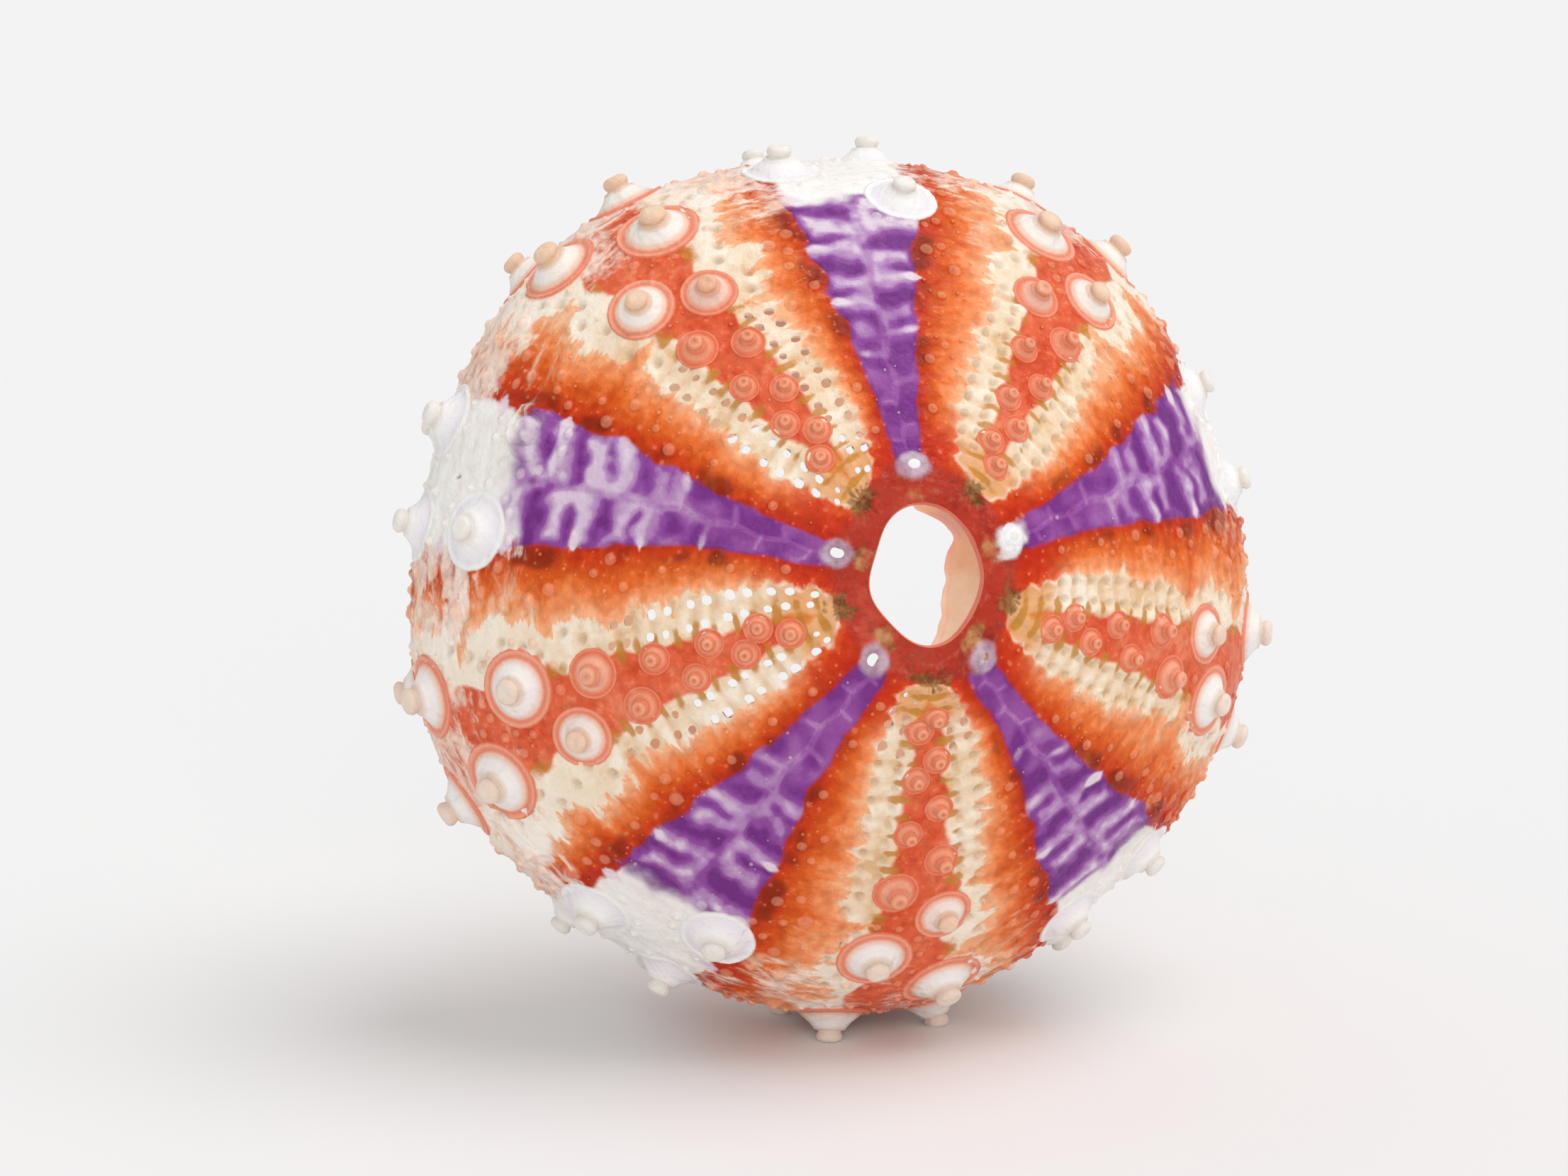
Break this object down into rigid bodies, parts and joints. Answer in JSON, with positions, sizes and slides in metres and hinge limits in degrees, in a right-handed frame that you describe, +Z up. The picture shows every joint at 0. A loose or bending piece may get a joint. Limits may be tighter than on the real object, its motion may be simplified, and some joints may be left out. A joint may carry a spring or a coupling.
{
  "type": "sea urchin shell",
  "caption": "Hollow domed sea urchin shell with five coloured rays and rows of knobs, open at the crown and the mouth, standing on its edge.",
  "frame": {"origin": "on the surface it stands on, under the middle of the bounding box", "axes": "+Z up; the crown of the shell faces -Y and leans back 8 degrees, the mouth side faces +Y"},
  "size_m": [0.0493, 0.0268, 0.0489],
  "materials": {
    "shell": "matte calcite shell: orange and cream rays, violet bands, white edge"
  },
  "bodies": {
    "root": {"urchin_test": "shell"}
  },
  "joints": []
}
